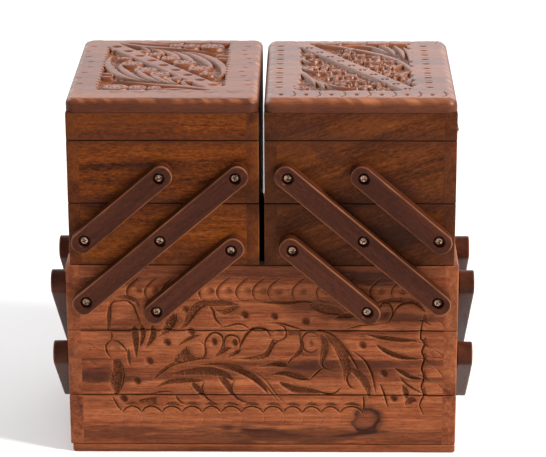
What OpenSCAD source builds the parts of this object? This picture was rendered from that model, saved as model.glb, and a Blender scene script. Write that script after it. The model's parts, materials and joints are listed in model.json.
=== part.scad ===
// Carved wooden cantilever sewing box.
// Three full-width tiers (base, lower tray, carrier tray) are linked by arms on the
// left and right faces and open towards the back. Two upper stacks stand on the carrier
// tray, each a middle tray, a top tray and a hinged lid, linked by arms on the front and
// back faces; they open to the left and to the right.
// Origin: centre of the resting face. +X right, +Y back, +Z up. Millimetres.

/* [Lower tiers] */
// Width of the base and the two full-width trays
case_w = 305; // [300:1:330]
// Depth of every tier, front to back
case_d = 180; // [176:1:200]
// Height of the base box with its bottom board
base_h = 49; // [46:0.5:56]
// Thickness of the bottom board, which shows all round
bottom_t = 7; // [5:0.5:9]
// Rise from the underside of one lower tray to the next
low_pitch = 54.5; // [52:0.5:60]
// Wall thickness of the three lower tiers
low_wall = 10.5; // [10:0.5:12]

/* [Upper stacks] */
// Width of one upper stack
stack_w = 147; // [144:1:148]
// Gap between the two stacks
stack_gap = 4; // [3:0.5:6]
// Rise from the underside of one upper tray to the next
up_pitch = 50.4; // [48:0.2:56]
// Wall thickness of the upper trays and the lid frames
up_wall = 9.5; // [9:0.5:11]
// Thickness of the inset tray floors
floor_t = 4; // [3:0.5:6]
// Clearance between one tier and the tier above it
tier_gap = 0.4; // [0.2:0.1:1]

/* [Lids] */
// Height of the frame under a lid board
lid_frame_h = 22; // [18:0.5:26]
// Thickness of a lid board
lid_board_t = 10.5; // [10:0.5:14]
// Radius of the rounded top edge of a lid board
lid_edge_r = 6; // [3:0.5:8]

/* [Arms] */
// Thickness of every arm
arm_t = 12; // [10:0.5:13]
// Gap between an arm and the wall behind it
arm_gap = 1; // [0.5:0.1:1.5]
// Width of an arm on the front or back face
up_arm_w = 17.5; // [16:0.5:19]
// Width of an arm on the left or right face
side_arm_w = 19.5; // [18:0.5:21]
// Distance past the end screws at which an upper arm starts to round off
up_arm_past = 2; // [0:0.5:2.5]
// Sideways run of an upper arm between two pivots
up_run = 58; // [54:1:60]
// Backward run of a side arm between two pivots
side_run = 68; // [64:1:70]
// Outermost upper pivots, measured in from the stack's outer face
up_inset = 13; // [12.5:0.5:14]
// Long upper arms' lowest pivots, below the middle tray's underside
long_drop = 26.8; // [24:0.2:27.2]
// Low upper arms' lower pivots: in from the stack's outer face
low_arm_inset = 67.5; // [66:0.5:70]
// Low upper arms' lower pivots: below the middle tray's underside
low_arm_drop = 34.4; // [32:0.2:38]
// Foremost side pivots, measured back from the front face
side_inset = 19; // [18:0.5:22]
// Long side arms' top pivots, above the carrier tray's underside
side_long_rise = 33.8; // [32:0.1:34]
// Low side arms' top pivots, above the lower tray's underside
side_low_rise = 28.1; // [26:0.1:32]
// High side arms' top pivots, above the carrier tray's underside
side_high_rise = 38.1; // [36:0.1:40]

/* [Screws] */
// Radius of a screw shank
shank_r = 1.75; // [1.5:0.05:2]
// Radius of a screw head
head_r = 2.9; // [2.6:0.1:3.2]
// Height of a screw head
head_t = 2.4; // [2:0.1:2.8]
// Radius of the recess that a head sits in
recess_r = 4.4; // [4:0.1:4.8]
// Depth of that recess
recess_d = 4.5; // [4:0.1:5]
// Depth that a screw enters the wall
screw_bite = 7.5; // [6:0.5:8]

/* [Lid hinges] */
// Length of one butt hinge
hinge_l = 26; // [20:1:30]
// Distance of each hinge from the middle of the lid
hinge_y = 46; // [40:1:55]
// Width of a hinge leaf on the wood
leaf_w = 8; // [7:0.5:9]
// Thickness of a hinge leaf
leaf_t = 1; // [0.8:0.1:1.2]
// Outer radius of a hinge knuckle
knuckle_r = 2; // [1.8:0.1:2.2]
// Radius of a hinge pin
pin_r = 0.8; // [0.7:0.05:0.9]
// Distance of a hinge pin's axis outside the wood
pin_out = 0.9; // [0.7:0.1:1.2]

/* [Hidden] */
$fn = 48;
eps = 0.01;            // static fit clearance, and overshoot of cuts
run_clear = 0.07;      // radial clearance of an arm on the screw it turns on
open_clear = 0.15;     // radial clearance of an arm on its other screws
head_clear = 0.1;      // gap under a screw head, so that the arm turns
knuckle_clear = 0.25;  // room round a knuckle, and between knuckles
end_steps = 18;        // flats round an arm's end
driver_slot = [0.7, 3.6, 1.1];
leaf_screw_r = 0.8;
leaf_screw_head_r = 1.7;
leaf_screw_l = 7;

z_lower = base_h + tier_gap;
z_carrier = z_lower + low_pitch;
z_middle = z_carrier + low_pitch;
z_top = z_middle + up_pitch;
z_lid = z_top + up_pitch;
z_board = z_lid + lid_frame_h;
stack_outer = stack_w + stack_gap / 2;

// Upper pivots as [distance in from the stack's outer face, height], lowest first
up_step = [up_run, up_pitch];
up_long = [for (k = [0:2]) [up_inset, z_middle - long_drop] + k * up_step];
up_low = [for (k = [0:1]) [low_arm_inset, z_middle - low_arm_drop] + k * up_step];
up_high = [for (k = [0:1]) up_long[1] - [up_run, 0] + k * up_step];
middle_pivots = [up_long[1], up_low[1], up_high[0]];
top_pivots = [up_long[2], up_high[1]];
carrier_up_pivots = [up_long[0], up_low[0]];

// Side pivots as [distance back from the front face, height], highest first
side_step = [side_run, -low_pitch];
side_long = [for (k = [0:2]) [side_inset, z_carrier + side_long_rise] + k * side_step];
side_low = [for (k = [0:1]) [side_inset, z_lower + side_low_rise] + k * side_step];
side_high = [for (k = [0:1]) [side_inset + side_run, z_carrier + side_high_rise] + k * side_step];
base_pivots = [side_long[2], side_low[1]];
lower_pivots = [side_long[1], side_low[0], side_high[1]];
carrier_pivots = [side_long[0], side_high[0]];

TIER = ["base", "lower_tray", "carrier_tray"];
tier_floor = [0, z_lower, z_carrier];
tier_wall_from = [bottom_t, z_lower, z_carrier];
tier_wall_to = [base_h, z_carrier - tier_gap, z_middle - tier_gap];
tier_side_pivots = [base_pivots, lower_pivots, carrier_pivots];
tier_front_pivots = [[], [], carrier_up_pivots];

SIDE = ["left", "right"];
FACE = ["front", "back"];
ARM = ["long", "low", "high"];
up_arms = [up_long, up_low, up_high];
side_arms = [side_long, side_low, side_high];
LEVEL = ["middle", "top"];
level_from = [z_middle, z_top];
level_pivots = [middle_pivots, top_pivots];

// ---- placing ----

// A board that fills the box between two opposite corners
module board(from, to) translate(from) cube(to - from);

// The left (0) stack's geometry as drawn, or its mirror image for the right (1) stack
module on_side(s) mirror([s, 0, 0]) children();

// Drawn flat as [distance in from the stack's outer face, height, distance off the wall],
// stood against the front (0) or back (1) face of the left stack
module on_stack_face(f) mirror([0, f, 0])
    translate([-stack_outer, -case_d / 2, 0]) rotate([90, 0, 0]) children();

// Drawn flat as [distance back from the front face, height, depth into the wall],
// stood against the left face of the lower tiers
module on_left_face() translate([-case_w / 2, -case_d / 2, 0]) rotate([90, 0, 90]) children();

// ---- screws and arms ----

// A pan-head screw with a cross slot, along +Z out of the wall
module screw() {
    under_head = arm_gap + arm_t - recess_d + head_clear;
    tip = screw_bite / 3;
    translate([0, 0, -screw_bite]) cylinder(r1 = shank_r / 4, r2 = shank_r, h = tip);
    translate([0, 0, tip - screw_bite]) cylinder(r = shank_r, h = under_head + screw_bite - tip);
    translate([0, 0, under_head]) difference() {
        union() {
            cylinder(r = head_r, h = head_t / 2);
            translate([0, 0, head_t / 2]) cylinder(r1 = head_r, r2 = head_r * 0.7, h = head_t / 2);
        }
        for (a = [0, 90]) rotate(a)
            translate([-driver_slot.x / 2, -driver_slot.y / 2, head_t - driver_slot.z])
                cube(driver_slot + [0, 0, eps]);
    }
}

// The hole that a screw is driven into, down into the wall
module pilot_hole() translate([0, 0, -screw_bite - eps])
    cylinder(r = shank_r + eps, h = screw_bite + 2 * eps);

// Points round one end of an arm, half a turn starting at the angle from
function round_end(centre, r, from) = [
    for (k = [0:end_steps]) let (a = from + 180 * k / end_steps) centre + r * [cos(a), sin(a)]
];

// A round-ended arm through a row of pivots, its ends centred `past` beyond the outer ones.
// It turns on the screw at pivots[turns_on].
module arm(pivots, width, past, turns_on) {
    first = pivots[0];
    last = pivots[len(pivots) - 1];
    lean = atan2(last.y - first.y, last.x - first.x);
    reach = past * [cos(lean), sin(lean)];
    difference() {
        translate([0, 0, arm_gap]) linear_extrude(height = arm_t)
            polygon(concat(round_end(last + reach, width / 2, lean - 90),
                           round_end(first - reach, width / 2, lean + 90)));
        for (k = [0:len(pivots) - 1]) translate(pivots[k]) {
            cylinder(r = shank_r + (k == turns_on ? run_clear : open_clear), h = arm_gap + arm_t + 1);
            translate([0, 0, arm_gap + arm_t - recess_d]) cylinder(r = recess_r, h = recess_d + 1);
        }
    }
}

module up_arm(s, f, a) color("saddlebrown")
    on_side(s) on_stack_face(f) arm(up_arms[a], up_arm_w, up_arm_past, 0);

// A low side arm turns on the base, a high one on the lower tray, a long one on the base
module side_arm(s, a) color("saddlebrown")
    on_side(s) on_left_face() mirror([0, 0, 1])
        arm(side_arms[a], side_arm_w, 0, len(side_arms[a]) - 1);

// Children at every screw of a stack tier, on both faces
module at_stack_screws(pivots) for (f = [0, 1], p = pivots)
    on_stack_face(f) translate(p) children();

// Children at every side screw of a lower tier
module at_side_screws(pivots) for (s = [0, 1], p = pivots)
    on_side(s) on_left_face() mirror([0, 0, 1]) translate(p) children();

// ---- lower tiers ----

module tier_face(t, f) color("sienna") mirror([0, f, 0]) difference() {
    board([low_wall - case_w / 2, -case_d / 2, tier_wall_from[t]],
          [case_w / 2 - low_wall, low_wall - case_d / 2, tier_wall_to[t]]);
    for (s = [0, 1]) on_side(s) at_stack_screws(tier_front_pivots[t]) pilot_hole();
}

module tier_sides(t) color("chocolate") difference() {
    for (s = [0, 1]) on_side(s)
        board([-case_w / 2, -case_d / 2, tier_wall_from[t]],
              [low_wall - case_w / 2, case_d / 2, tier_wall_to[t]]);
    at_side_screws(tier_side_pivots[t]) pilot_hole();
}

// The base stands on a full-size bottom board; the trays have a floor inset in the walls
module tier_bottom(t) color("peru") {
    inset = t == 0 ? 0 : low_wall;
    thickness = t == 0 ? bottom_t : floor_t;
    board([inset - case_w / 2, inset - case_d / 2, tier_floor[t]],
          [case_w / 2 - inset, case_d / 2 - inset, tier_floor[t] + thickness]);
}

module tier_screws(t) color("silver") {
    at_side_screws(tier_side_pivots[t]) screw();
    for (s = [0, 1]) on_side(s) at_stack_screws(tier_front_pivots[t]) screw();
}

// ---- upper trays ----

// Four boards round the left stack's footprint; the side boards run the full depth
module wall_ring(from, to) {
    for (x = [-stack_outer, -stack_gap / 2 - up_wall])
        board([x, -case_d / 2, from], [x + up_wall, case_d / 2, to]);
    for (f = [0, 1]) mirror([0, f, 0])
        board([up_wall - stack_outer, -case_d / 2, from],
              [-stack_gap / 2 - up_wall, up_wall - case_d / 2, to]);
}

module tray_walls(s, l) color("chocolate") on_side(s) difference() {
    wall_ring(level_from[l], level_from[l] + up_pitch - tier_gap);
    at_stack_screws(level_pivots[l]) pilot_hole();
    if (l == 1) hinge_room(-1);
}

module tray_floor(s, l) color("peru") on_side(s)
    board([up_wall - stack_outer, up_wall - case_d / 2, level_from[l]],
          [-stack_gap / 2 - up_wall, case_d / 2 - up_wall, level_from[l] + floor_t]);

module tray_screws(s, l) color("silver") on_side(s) at_stack_screws(level_pivots[l]) screw();

// ---- lids ----

// A flat slab's end view, width wide and lid_board_t high, with its top edges rounded
module slab_profile(width) intersection() {
    square([width, lid_board_t]);
    union() {
        square([width, lid_board_t - lid_edge_r]);
        translate([lid_edge_r, 0]) square([width - 2 * lid_edge_r, lid_board_t]);
        for (x = [lid_edge_r, width - lid_edge_r])
            translate([x, lid_board_t - lid_edge_r]) circle(r = lid_edge_r);
    }
}

module lid_panel(s) color("rosybrown") on_side(s)
    translate([-stack_outer, -case_d / 2, z_board]) intersection() {
        translate([0, case_d, 0]) rotate([90, 0, 0])
            linear_extrude(height = case_d) slab_profile(stack_w);
        rotate([90, 0, 90]) linear_extrude(height = stack_w) slab_profile(case_d);
    }

module lid_frame(s) color("chocolate") on_side(s) difference() {
    wall_ring(z_lid, z_board);
    hinge_room(1);
}

// ---- lid hinges: drawn for the left lid, with the pin's axis as the local Y axis ----

// Children at both hinges, origin on the pin's axis at the hinge's middle
module at_hinges() for (y = [-hinge_y, hinge_y])
    translate([-stack_outer - pin_out, y, z_lid - tier_gap / 2]) children();

// A cylinder along Y about the pin's axis
module pin_cylinder(r, from, to) translate([0, to, 0]) rotate([90, 0, 0])
    cylinder(r = r, h = to - from);

// The middle third of a hinge belongs to the lid (up = 1), the outer thirds to the tray (-1)
knuckle_third = hinge_l / 6;
function knuckles(up) = up == 1
    ? [[-knuckle_third, knuckle_third]]
    : [[-hinge_l / 2, -knuckle_third], [knuckle_third, hinge_l / 2]];

// A flat slab on the tray (up = -1) or the lid (up = 1) side of the seam
module leaf_slab(up, length, from_x, to_x, thickness) mirror([0, 0, up == 1 ? 0 : 1])
    board([from_x, -length / 2, tier_gap / 2], [to_x, length / 2, tier_gap / 2 + thickness]);

// The wood cut away for the leaf and for both leaves' knuckles
module hinge_room(up) at_hinges() {
    leaf_slab(up, hinge_l, 0, pin_out + leaf_w, leaf_t);
    pin_cylinder(knuckle_r + knuckle_clear, -hinge_l / 2, hinge_l / 2);
    at_leaf_screws(up) cylinder(r = leaf_screw_r + eps, h = leaf_screw_l + eps);
}

// Children at a leaf's two screws, +Z into the wood, origin on the leaf's open face
module at_leaf_screws(up) for (y = [-1, 1] * hinge_l / 3)
    mirror([0, 0, up == 1 ? 0 : 1])
        translate([pin_out + leaf_w * 0.6, y, tier_gap / 2]) children();

module countersink() cylinder(r1 = leaf_screw_head_r, r2 = leaf_screw_r, h = leaf_t);

module leaf(up) difference() {
    union() {
        difference() {
            leaf_slab(up, hinge_l, 0, pin_out + leaf_w - eps, leaf_t);
            for (k = knuckles(-up))
                pin_cylinder(knuckle_r + knuckle_clear, k[0] - knuckle_clear, k[1] + knuckle_clear);
        }
        for (k = knuckles(up))
            pin_cylinder(knuckle_r, k[0] + (k[0] > -hinge_l / 2 ? knuckle_clear / 2 : 0),
                         k[1] - (k[1] < hinge_l / 2 ? knuckle_clear / 2 : 0));
    }
    pin_cylinder(pin_r + (up == 1 ? run_clear : eps), -hinge_l, hinge_l);
    at_leaf_screws(up) countersink();
}

module hinge_leaves(s, up) color("gold") on_side(s) at_hinges() leaf(up);

module hinge_pins(s) color("goldenrod") on_side(s) at_hinges()
    pin_cylinder(pin_r, -hinge_l / 2, hinge_l / 2);

module hinge_screws(s, up) color("khaki") on_side(s) at_hinges() at_leaf_screws(up) {
    countersink();
    cylinder(r = leaf_screw_r, h = leaf_screw_l);
}

// ---- the nodes ----

for (t = [0:2]) {
    tier_face(t, 0);
    tier_face(t, 1);
    tier_sides(t);
    tier_bottom(t);
    tier_screws(t);
}
for (s = [0, 1], a = [0:2]) {
    side_arm(s, a);
    for (f = [0, 1])
        up_arm(s, f, a);
}
for (s = [0, 1], l = [0, 1]) {
    tray_walls(s, l);
    tray_floor(s, l);
    tray_screws(s, l);
}
for (s = [0, 1]) {
    lid_panel(s);
    lid_frame(s);
    hinge_leaves(s, -1);
    hinge_leaves(s, 1);
    hinge_pins(s);
    hinge_screws(s, -1);
    hinge_screws(s, 1);
}
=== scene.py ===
"""Carved wooden cantilever sewing box: the looks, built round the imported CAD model.

The pieces are drawn in millimetres in the part's own frame (+X right, +Y back, +Z up), and new_piece()
turns them into Blender's metres. The floor, lights and camera are placed in metres, and the scales in
the materials are per metre.
"""
import json
import math

import bmesh
import bpy
import numpy as np
from mathutils import Matrix, Vector


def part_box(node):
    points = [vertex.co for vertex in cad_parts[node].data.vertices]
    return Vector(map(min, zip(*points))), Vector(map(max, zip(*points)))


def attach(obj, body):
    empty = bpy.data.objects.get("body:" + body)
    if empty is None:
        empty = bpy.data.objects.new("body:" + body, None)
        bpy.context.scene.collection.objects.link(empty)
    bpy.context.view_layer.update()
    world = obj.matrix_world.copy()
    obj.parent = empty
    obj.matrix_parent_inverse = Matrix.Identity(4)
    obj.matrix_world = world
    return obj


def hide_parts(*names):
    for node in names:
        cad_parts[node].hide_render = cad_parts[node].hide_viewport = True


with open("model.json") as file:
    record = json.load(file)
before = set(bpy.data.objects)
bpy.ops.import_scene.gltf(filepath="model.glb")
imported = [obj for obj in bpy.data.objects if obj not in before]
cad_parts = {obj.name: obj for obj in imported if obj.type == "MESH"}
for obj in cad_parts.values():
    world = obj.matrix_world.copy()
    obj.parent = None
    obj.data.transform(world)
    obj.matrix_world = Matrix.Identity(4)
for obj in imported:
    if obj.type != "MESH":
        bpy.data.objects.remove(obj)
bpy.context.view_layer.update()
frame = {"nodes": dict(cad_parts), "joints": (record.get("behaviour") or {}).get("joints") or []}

MM = 0.001
SIDES = ("left", "right")
FACES = ("front", "back")
ARMS = ("long", "low", "high")
TIERS = ("base", "lower_tray", "carrier_tray")


def box_mm(node):
    """A CAD node's lowest and highest corners, in millimetres."""
    low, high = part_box(node)
    return np.array(low) / MM, np.array(high) / MM


# ---------------------------------------------------------------- materials

class Nodes:
    """A short way to write a node tree."""

    def __init__(self, tree):
        self.tree = tree

    def add(self, kind, inputs=None, **settings):
        node = self.tree.nodes.new(kind)
        for name, value in settings.items():
            setattr(node, name, value)
        for name, value in (inputs or {}).items():
            self.feed(node.inputs[name], value)
        return node

    def feed(self, socket, value):
        if isinstance(value, bpy.types.NodeSocket):
            self.tree.links.new(value, socket)
        else:
            socket.default_value = value

    def math(self, operation, a, b=0.0, c=0.0, clamp=False):
        node = self.add("ShaderNodeMath", operation=operation, use_clamp=clamp)
        for socket, value in zip(node.inputs, (a, b, c)):
            self.feed(socket, value)
        return node.outputs[0]

    def noise(self, vector, scale, detail=3.0, rough=0.5, distortion=0.0):
        values = {"Vector": vector, "Scale": scale, "Detail": detail, "Roughness": rough,
                  "Distortion": distortion}
        return self.add("ShaderNodeTexNoise", values).outputs["Fac"]

    def stretch(self, vector, scale, shift=(0, 0, 0)):
        values = {"Vector": vector, "Scale": scale, "Location": shift}
        return self.add("ShaderNodeMapping", values).outputs["Vector"]

    def ramp(self, factor, stops):
        """stops are (position, colour) pairs; a colour is a grey value or an (r, g, b)."""
        node = self.add("ShaderNodeValToRGB", {"Fac": factor})
        points = node.color_ramp.elements
        while len(points) < len(stops):
            points.new(1.0)
        for point, (position, colour) in zip(points, stops):
            rgb = colour if isinstance(colour, tuple) else (colour,) * 3
            point.position = position
            point.color = (*rgb, 1.0)
        return node.outputs["Color"]

    def mix(self, factor, a, b):
        node = self.add("ShaderNodeMix", data_type="RGBA")
        self.feed(node.inputs[0], factor)
        for socket, value in ((node.inputs[6], a), (node.inputs[7], b)):
            self.feed(socket, value if isinstance(value, bpy.types.NodeSocket) else (*value, 1.0))
        return node.outputs[2]

    def attribute(self, name):
        return self.add("ShaderNodeAttribute", attribute_name=name).outputs["Fac"]


def new_material(name):
    material = bpy.data.materials.new(name)
    material.use_nodes = True
    nodes = Nodes(material.node_tree)
    shader = material.node_tree.nodes["Principled BSDF"]
    return material, nodes, shader


# Wood tones as linear colours: the darkest streaks, the body, the lightest figure. Red is the lower
# unit, warm and dusk are the left and right stacks, and plum is the arms.
RED_TONES = ((0.042, 0.0100, 0.0050), (0.205, 0.0520, 0.0190), (0.450, 0.1450, 0.0560))
WARM_TONES = ((0.024, 0.0054, 0.0012), (0.118, 0.0250, 0.0030), (0.260, 0.0680, 0.0085))
DUSK_TONES = ((0.014, 0.0036, 0.0012), (0.074, 0.0175, 0.0032), (0.185, 0.0480, 0.0080))
PLUM_TONES = ((0.026, 0.0068, 0.0036), (0.047, 0.0122, 0.0060), (0.078, 0.0210, 0.0095))
LID_TONES = ((0.034, 0.0085, 0.0045), (0.140, 0.0350, 0.0130), (0.290, 0.0900, 0.0340))
# Heartwood, which also serves as painted shade; painted shade on the floor of the carving on the fronts; the
# floor of the carving on the lids; and edges rubbed bare
STAIN_AND_SHADE_TONE = (0.034, 0.0105, 0.0065)
CARVING_SHADE_TONE = (0.060, 0.0130, 0.0035)
LID_CUT_TONE = (0.170, 0.0460, 0.0110)
FRESH_TONE = (0.52, 0.190, 0.075)


def wood(name, tones, grain, shift, turn=(0, 0, 0), roughness=0.42, streaks=0.5, coat=0.0,
         coat_roughness=0.3, cut_tone=CARVING_SHADE_TONE, fleck=0.12):
    """Solid wood whose grain runs along an axis of the part, turned by `turn` radians first.

    Three mesh attributes add to it where a piece has them: "cut" is how deep the carving is, and it darkens
    the colour towards cut_tone, which on the fronts is painted shade in the recesses; "worn" is how much a
    bare edge shows; and "stain" is dark heartwood, knots and darker end grain, and also painted shade along
    the seams between the tiers and on the lids' sides.
    """
    material, n, shader = new_material(name)
    where = n.add("ShaderNodeTexCoord").outputs["Object"]
    where = n.add("ShaderNodeMapping", {"Vector": where, "Rotation": turn, "Location": shift}).outputs[0]
    along = {"X": (1, 0, 0), "Y": (0, 1, 0), "Z": (0, 0, 1)}[grain]

    def scaled(lengthwise, across):
        return n.stretch(where, tuple(lengthwise if a else across for a in along))

    sway = n.noise(scaled(4, 9), 1.0, 2.0)
    swayed = n.add("ShaderNodeVectorMath", operation="ADD")
    n.feed(swayed.inputs[0], scaled(2.5, 30))
    n.feed(swayed.inputs[1], n.math("MULTIPLY", sway, 1.6))
    clouds = n.noise(swayed.outputs[0], 1.0, 4.0, 0.62, 0.5)
    figure = n.noise(scaled(7, 210), 1.0, 5.0, 0.68, 0.4)
    fibres = n.noise(scaled(70, 1500), 1.0, 3.0, 0.6)
    pores = n.noise(scaled(170, 1900), 1.0, 1.0, 0.5)

    clouding = n.math("MULTIPLY", clouds, 0.45 + 0.4 * fleck)
    tone = n.math("MULTIPLY_ADD", figure, 0.55 - 0.4 * fleck, clouding)
    tone = n.math("MULTIPLY_ADD", n.math("SUBTRACT", fibres, 0.5), 0.30, tone)
    flecks = n.noise(scaled(240, 620), 1.0, 3.0, 0.7, 0.3)
    tone = n.math("MULTIPLY_ADD", n.math("SUBTRACT", flecks, 0.5), fleck, tone)
    dark, body, light = tones
    colour = n.ramp(tone, [(0.30, dark), (0.47, body), (0.68, light)])
    heart = n.ramp(clouds, [(0.56, 0.0), (0.70, 1.0)])
    heart = n.math("MULTIPLY", heart, streaks)
    # heartwood and the stain mark darken the colour; where pieces set the mark along seams and round the
    # lids' sides it is painted shade
    stain_and_shade = n.math("MULTIPLY", n.attribute("stain_and_shade"), n.math("MULTIPLY_ADD", figure, 1.2, 0.35))
    colour = n.mix(n.math("ADD", heart, stain_and_shade, clamp=True), colour, STAIN_AND_SHADE_TONE)
    speck = n.ramp(pores, [(0.60, 0.0), (0.70, 1.0)])
    colour = n.mix(n.math("MULTIPLY", speck, 0.45), colour, tuple(0.35 * c for c in dark))
    # the carving darkens with its depth towards cut_tone: with the fronts' tone this is painted shade in the
    # recesses, and on the lids it is the raw orange of the carved floor
    colour = n.mix(n.math("MULTIPLY", n.attribute("cut"), 0.78), colour, cut_tone)
    fresh = n.math("MULTIPLY", n.attribute("worn"), n.math("MULTIPLY_ADD", figure, 0.9, 0.1))
    colour = n.mix(fresh, colour, FRESH_TONE)
    n.feed(shader.inputs["Base Color"], colour)

    rough = n.math("MULTIPLY_ADD", figure, 0.22, roughness - 0.11)
    n.feed(shader.inputs["Roughness"], n.math("MULTIPLY_ADD", speck, 0.15, rough))
    shader.inputs["Specular IOR Level"].default_value = 0.08
    if coat:
        bare = n.math("SUBTRACT", 1.0, n.math("MULTIPLY", n.attribute("stain_and_shade"), 1.3), clamp=True)
        n.feed(shader.inputs["Coat Weight"], n.math("MULTIPLY", bare, coat))
    shader.inputs["Coat Roughness"].default_value = coat_roughness
    height = n.math("MULTIPLY_ADD", fibres, 0.6, n.math("MULTIPLY", speck, -0.8))
    relief = n.add("ShaderNodeBump", {"Strength": 0.25, "Distance": 0.0004, "Height": height})
    n.feed(shader.inputs["Normal"], relief.outputs[0])
    return material


def metal(name, tint, grime, roughness):
    """Old plated or solid metal with grime in patches and fine scratches."""
    material, n, shader = new_material(name)
    where = n.add("ShaderNodeTexCoord").outputs["Object"]
    patches = n.ramp(n.noise(where, 420, 4.0, 0.6), [(0.42, 0.0), (0.62, 1.0)])
    scratches = n.noise(n.stretch(where, (900, 5200, 900)), 1.0, 2.0)
    n.feed(shader.inputs["Base Color"], n.mix(patches, tint, grime))
    shader.inputs["Metallic"].default_value = 1.0
    n.feed(shader.inputs["Roughness"], n.math("MULTIPLY_ADD", patches, 0.28, roughness))
    relief = n.add("ShaderNodeBump", {"Strength": 0.2, "Distance": 0.0001, "Height": scratches})
    n.feed(shader.inputs["Normal"], relief.outputs[0])
    return material


# ---------------------------------------------------------------- mesh pieces

def new_piece(name, points, faces, body, material, nodes, sharp=40, marks=None):
    """A mesh piece from points in millimetres, riding on a body in place of some CAD nodes.
    marks are values at its points, by attribute name."""
    mesh = bpy.data.meshes.new(name)
    points = np.asarray(points, float)
    mesh.from_pydata((points * MM).tolist(), [], faces)
    for key, values in (marks or {}).items():
        layer = mesh.attributes.new(key, "FLOAT", "POINT")
        layer.data.foreach_set("value", np.asarray(values, np.float32).ravel())
    mesh.shade_smooth()
    mesh.set_sharp_from_angle(angle=math.radians(sharp))
    piece = bpy.data.objects.new(name, mesh)
    bpy.context.scene.collection.objects.link(piece)
    mesh.materials.append(material)
    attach(piece, body)
    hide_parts(*nodes)
    return piece


def smooth_noise(u, v, cell, seed):
    """Smooth noise from -1 to 1 whose lumps are about `cell` across."""
    table = np.random.default_rng(seed).random((64, 64)) * 2 - 1
    a, b = u / cell, v / cell
    i, j = np.floor(a).astype(int), np.floor(b).astype(int)
    s, t = a - i, b - j
    s, t = s * s * (3 - 2 * s), t * t * (3 - 2 * t)

    def at(di, dj):
        return table[(i + di) % 64, (j + dj) % 64]

    low = at(0, 0) * (1 - s) + at(1, 0) * s
    high = at(0, 1) * (1 - s) + at(1, 1) * s
    return low * (1 - t) + high * t


def edge_rows(low, high, radius, step, turns=4):
    """Coordinates from low to high, close together where an edge is rounded over."""
    angles = np.linspace(0, math.pi / 2, turns + 1)[:-1]
    ends = radius * (1 - np.cos(angles))
    inner = np.linspace(low + radius, high - radius, max(2, round((high - low) / step)))
    return np.concatenate([low + ends, inner, high - ends[::-1]])


def rounded_board(low, high, radius=1.0, step=12.0, seed=0, wobble=0.35, turns=4, square=None):
    """Points and faces of a board whose edges are worn to about `radius`.
    square names an axis and an end of it (-1 low, 1 high, 0 both) where another board stands against
    this one, so that the edges there stay sharp."""
    low, high = np.asarray(low, float), np.asarray(high, float)
    rows = [edge_rows(low[k], high[k], radius, step, turns) for k in range(3)]
    index, points, faces = {}, [], []

    def point(key):
        if key not in index:
            index[key] = len(points)
            points.append([rows[k][key[k]] for k in range(3)])
        return index[key]

    for axis, end in ((0, 0), (0, 1), (1, 0), (1, 1), (2, 0), (2, 1)):
        first, second = (axis + 1) % 3, (axis + 2) % 3
        for i in range(len(rows[first]) - 1):
            for j in range(len(rows[second]) - 1):
                corners = []
                for di, dj in ((0, 0), (1, 0), (1, 1), (0, 1)):
                    key = [0, 0, 0]
                    key[axis] = end * (len(rows[axis]) - 1)
                    key[first], key[second] = i + di, j + dj
                    corners.append(point(tuple(key)))
                faces.append(corners if end else corners[::-1])
    points = np.array(points)
    spread = smooth_noise(points[:, 0] + points[:, 1] * 0.7, points[:, 2] + points[:, 1], 17.0, seed)
    core = np.clip(points, low + radius, high - radius)
    if square is not None:
        axis, end = square
        sharp = end * (points[:, axis] - (low[axis] + high[axis]) / 2) >= 0
        core[sharp, axis] = points[sharp, axis]
    out = points - core
    length = np.linalg.norm(out, axis=1, keepdims=True)
    sizes = np.sort(np.abs(out), axis=1)
    edges = sizes[:, 1] > 1e-9
    cornering = sizes[:, 1] / np.maximum(sizes[:, 2], 1e-9)
    reach = (radius * (1 - wobble * np.clip(spread, 0, 1) * cornering))[:, None]
    points = np.where(edges[:, None], core + out / np.maximum(length, 1e-9) * reach, points)
    worn = np.where(edges, 0.35 + 0.65 * np.clip(spread + 0.2, 0, 1), 0.0)
    return points, faces, worn


def unworn(points, faces):
    """A form for join() that shows no wear."""
    return points, faces, np.zeros(len(points))


def strip(a, b, count):
    """Quads between two rings of `count` points, numbered from a and from b."""
    return [(a + k, b + k, b + (k + 1) % count, a + (k + 1) % count) for k in range(count)]


def join(parts):
    """One set of points, faces and wear values from several."""
    points, faces, values, base = [], [], [], 0
    for part_points, part_faces, part_values in parts:
        points.append(part_points)
        values.append(part_values)
        faces += [[base + k for k in face] for face in part_faces]
        base += len(part_points)
    return np.concatenate(points), faces, np.concatenate(values)


# ---------------------------------------------------------------- carving

def spline(points, steps=7):
    """A smooth curve through points in the plane, as an array."""
    p = np.array([points[0], *points, points[-1]], float)
    t = np.linspace(0, 1, steps, endpoint=False)[:, None]
    runs = []
    for a, b, c, d in zip(p, p[1:], p[2:], p[3:]):
        runs.append(0.5 * (2 * b + (c - a) * t + (2 * a - 5 * b + 4 * c - d) * t**2
                           + (3 * b - a - 3 * c + d) * t**3))
    return np.concatenate([*runs, p[-1:]])


def oval(x, y, a, b):
    """A closed oval line with half axes a and b."""
    t = np.linspace(0, 2 * math.pi, 29)
    return np.stack([x + a * np.cos(t), y + b * np.sin(t)], 1)


def fading(t, power):
    """1 in the middle of a stroke and falling to nearly 0 at its ends; t runs from 0 to 1."""
    return np.sin(math.pi * np.clip(t, 0.004, 0.996)) ** power


def swelling(t, lead, tip):
    """As fading(), but greatest at `lead`; tip keeps it from reaching 0 at the ends."""
    return np.sin(math.pi * np.clip(t, tip, 1 - tip) ** (math.log(0.5) / math.log(lead)))


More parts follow.
